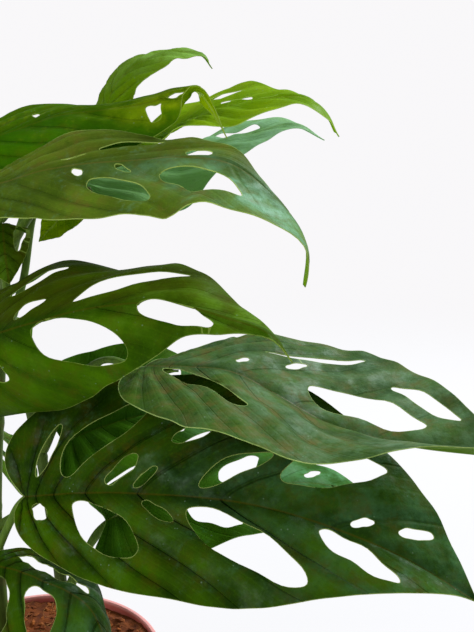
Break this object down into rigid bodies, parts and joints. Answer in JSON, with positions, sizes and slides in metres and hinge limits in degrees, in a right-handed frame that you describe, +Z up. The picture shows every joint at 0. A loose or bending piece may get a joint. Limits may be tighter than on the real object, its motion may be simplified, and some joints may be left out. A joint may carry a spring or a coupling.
{
  "type": "potted monstera adansonii",
  "caption": "House plant with pointed dark green leaves full of oval holes, on arching stalks, growing from soil in a round tapered terracotta-coloured pot.",
  "frame": {"origin": "centre of the underside of the pot", "axes": "+Z up along the pot's axis; +X towards the long lower leaf, which is the right of the picture; +Y away from the camera"},
  "size_m": [0.3902, 0.2494, 0.409],
  "materials": {
    "leaf": "dark green, satin, with paler veins and margins",
    "stem": "yellow-green, satin",
    "soil": "matte reddish brown bark chips and coir",
    "pot": "satin terracotta red"
  },
  "bodies": {
    "root": {"pot": "pot", "soil": "soil", "stem_front": "stem", "stem_right": "stem", "stem_back": "stem", "stem_left": "stem", "leaf_front_low": "leaf", "leaf_right_middle": "leaf", "leaf_front_middle": "leaf", "leaf_front_upper": "leaf", "leaf_top_left": "leaf", "leaf_top_right": "leaf", "leaf_top_upright": "leaf", "leaf_back_upper": "leaf", "leaf_hanging_left": "leaf", "leaf_hanging_right": "leaf", "leaf_over_rim": "leaf", "leaf_back_low": "leaf", "leaf_back_right": "leaf", "leaf_left_low": "leaf", "leaf_left_middle": "leaf", "leaf_left_upper": "leaf", "leaf_back_left": "leaf", "leaf_back_middle": "leaf", "leaf_back_top": "leaf"}
  },
  "joints": []
}
